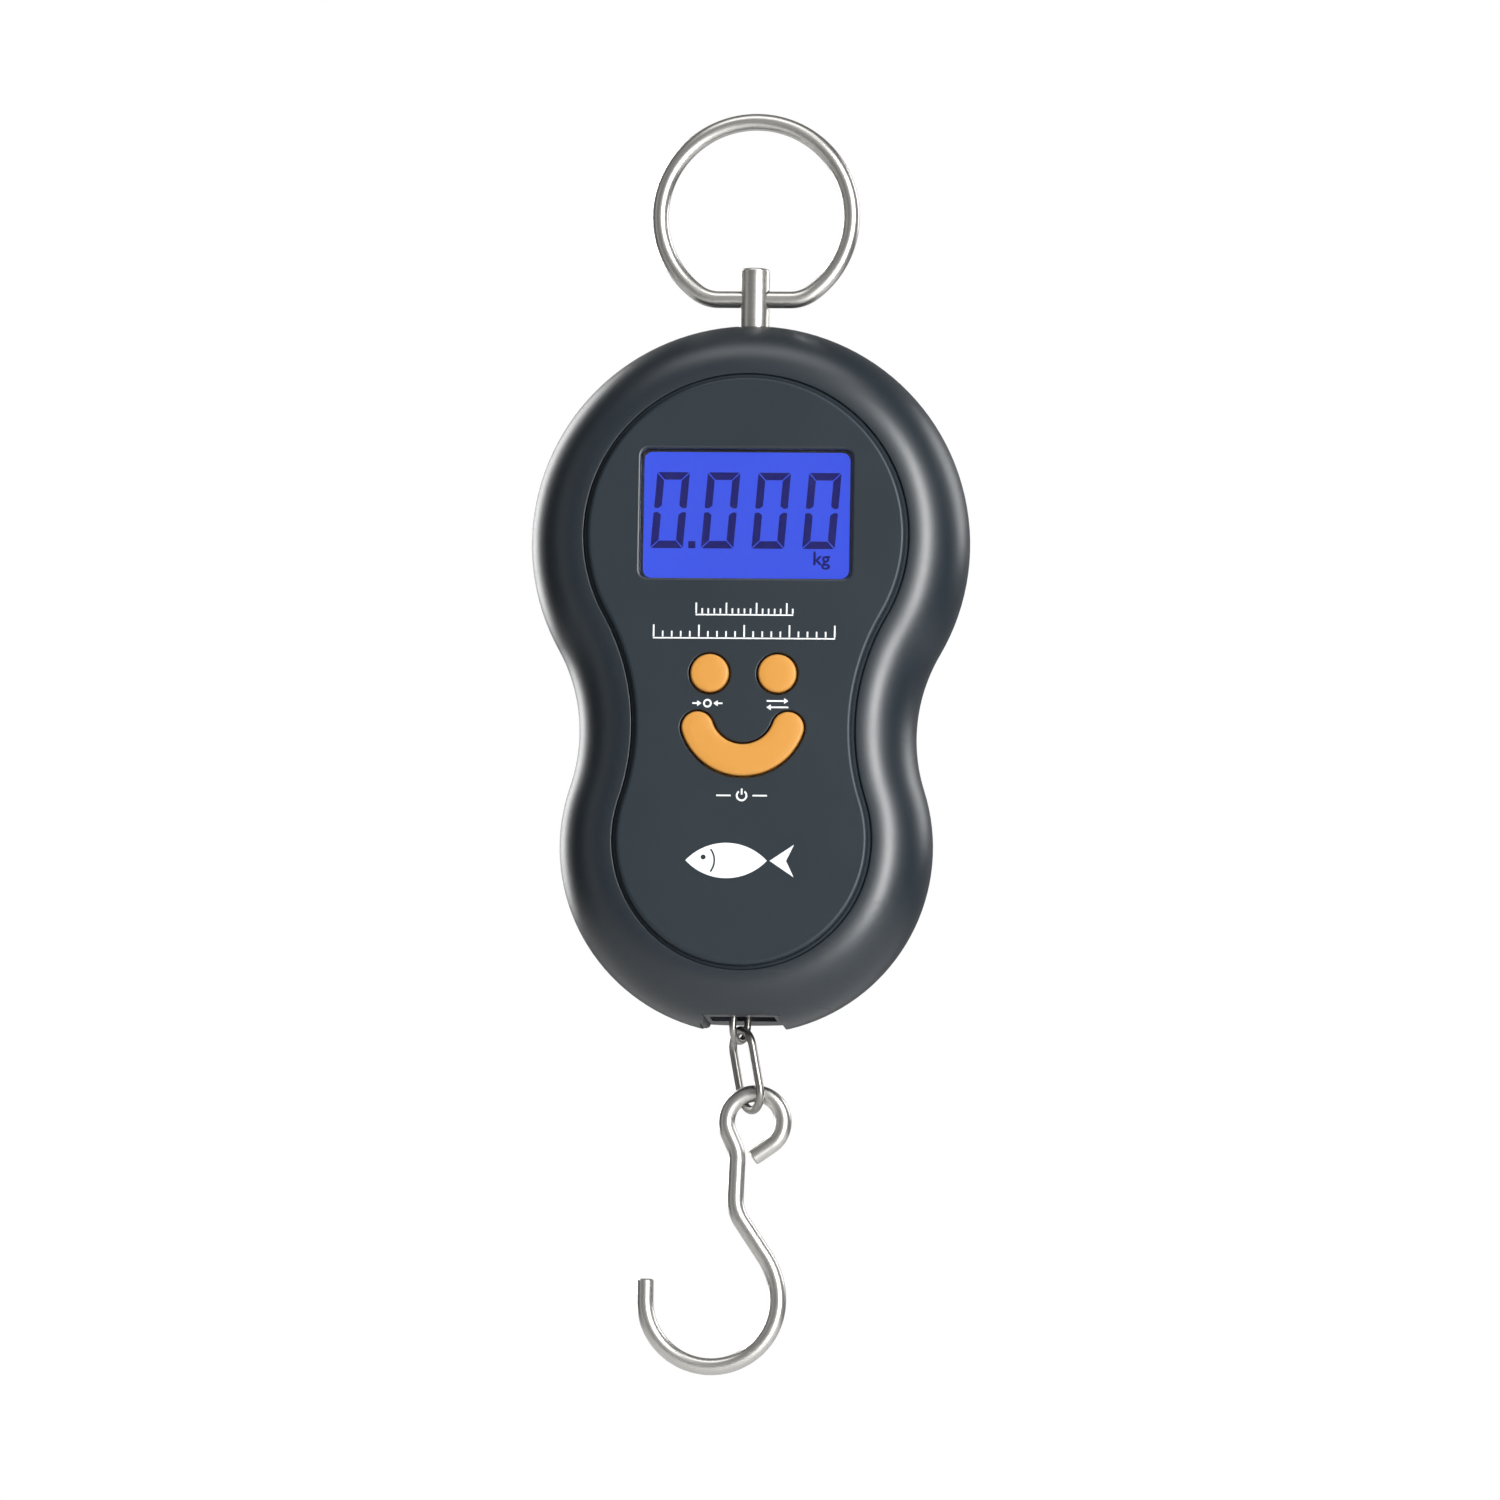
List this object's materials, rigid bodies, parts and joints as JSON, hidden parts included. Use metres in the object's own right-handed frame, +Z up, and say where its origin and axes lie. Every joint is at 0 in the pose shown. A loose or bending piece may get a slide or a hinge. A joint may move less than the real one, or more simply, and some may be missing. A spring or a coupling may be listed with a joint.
{
  "type": "digital hanging fish scale",
  "caption": "Hand-held digital hanging scale: hourglass plastic casing with a lit display and push buttons, hung from a steel ring, with a steel hook on two links below.",
  "frame": {"origin": "the point at the inner top of the ring, where the scale hangs on its support", "axes": "+Z up along the line of the load, +X to the right seen from the display side, +Y towards the battery door; Y = 0 is the seam between the two covers"},
  "size_m": [0.073, 0.0294, 0.211],
  "materials": {
    "casing": "satin",
    "button": "satin",
    "wire_steel": "polished",
    "post_steel": "turned",
    "screw_steel": "zinc plated",
    "aluminium": "milled",
    "clear": "clear",
    "display": "lit",
    "light_guide": "clear moulded",
    "board": "solder mask",
    "black_part": "moulded",
    "sealant": "cured",
    "gauge_film": "film",
    "contact": "nickel plated",
    "battery": "foil jacket",
    "red_wire": "insulation",
    "black_wire": "insulation",
    "green_wire": "insulation",
    "white_wire": "insulation"
  },
  "bodies": {
    "ring": {"hanging_ring": "wire_steel"},
    "case": {"top_post": "post_steel", "post_lock_nut": "screw_steel", "load_cell": "aluminium", "load_cell_screw_left": "screw_steel", "load_cell_screw_right": "screw_steel", "strain_gauge_left": "gauge_film", "strain_gauge_right": "gauge_film", "gauge_sealant_left": "sealant", "gauge_sealant_right": "sealant", "load_cell_wire_green": "green_wire", "load_cell_wire_white": "white_wire", "load_cell_wire_red": "red_wire", "load_cell_wire_black": "black_wire", "front_cover": "casing", "rear_cover": "casing", "case_screw_upper_left": "screw_steel", "case_screw_upper_right": "screw_steel", "case_screw_lower_left": "screw_steel", "case_screw_lower_right": "screw_steel", "display_window": "clear", "display_frame": "black_part", "lcd_glass": "display", "backlight_panel": "light_guide", "zebra_strip": "black_part", "main_board": "board", "processor_blob": "black_part", "memory_chip": "black_part", "board_screw_upper_left": "screw_steel", "board_screw_upper_right": "screw_steel", "board_screw_lower_left": "screw_steel", "board_screw_lower_right": "screw_steel", "tare_switch": "black_part", "unit_switch": "black_part", "power_switch": "black_part", "battery_left": "battery", "battery_right": "battery", "battery_spring_lower": "contact", "battery_spring_upper": "contact", "contact_positive": "contact", "contact_negative": "contact", "contact_bridge": "contact", "battery_lead_red": "red_wire", "battery_lead_black": "black_wire"},
    "tare_key": {"tare_button": "button", "tare_plunger": "black_part"},
    "unit_key": {"unit_button": "button", "unit_plunger": "black_part"},
    "power_key": {"power_button": "button", "power_plunger": "black_part"},
    "door": {"battery_door": "casing"},
    "hanger": {"hanger_link": "wire_steel"},
    "link": {"chain_link": "wire_steel"},
    "hook": {"hook": "wire_steel"}
  },
  "joints": [
    {"name": "ring_swing", "type": "hinge", "parent": "ring", "child": "case", "pos_m": [0, 0, -0.0286], "axis": [1, 0, 0], "range_deg": [-115, 115]},
    {"name": "tare_press", "type": "slide", "parent": "case", "child": "tare_key", "axis": [0, 1, 0], "range_m": [0, 0.0005], "stiffness_N_per_m": 1000, "springref_m": -0.0005},
    {"name": "unit_press", "type": "slide", "parent": "case", "child": "unit_key", "axis": [0, 1, 0], "range_m": [0, 0.0005], "stiffness_N_per_m": 1000, "springref_m": -0.0005},
    {"name": "power_press", "type": "slide", "parent": "case", "child": "power_key", "axis": [0, 1, 0], "range_m": [0, 0.0005], "stiffness_N_per_m": 1000, "springref_m": -0.0005},
    {"name": "door_hinge", "type": "hinge", "parent": "case", "child": "door", "pos_m": [0, 0.0152, -0.0596], "axis": [1, 0, 0], "range_deg": [0, 95]},
    {"name": "hanger_swing", "type": "hinge", "parent": "case", "child": "hanger", "pos_m": [0, 0, -0.1418], "axis": [0, 1, 0], "range_deg": [-20, 20]},
    {"name": "link_swing", "type": "hinge", "parent": "hanger", "child": "link", "pos_m": [-0.0006, 0, -0.151], "axis": [0.5351, -0.8387, 0.1016], "range_deg": [-55, 40]},
    {"name": "hook_swing", "type": "hinge", "parent": "link", "child": "hook", "pos_m": [0.0019, 0, -0.16431], "axis": [0, 1, 0], "range_deg": [-75, 75]}
  ]
}
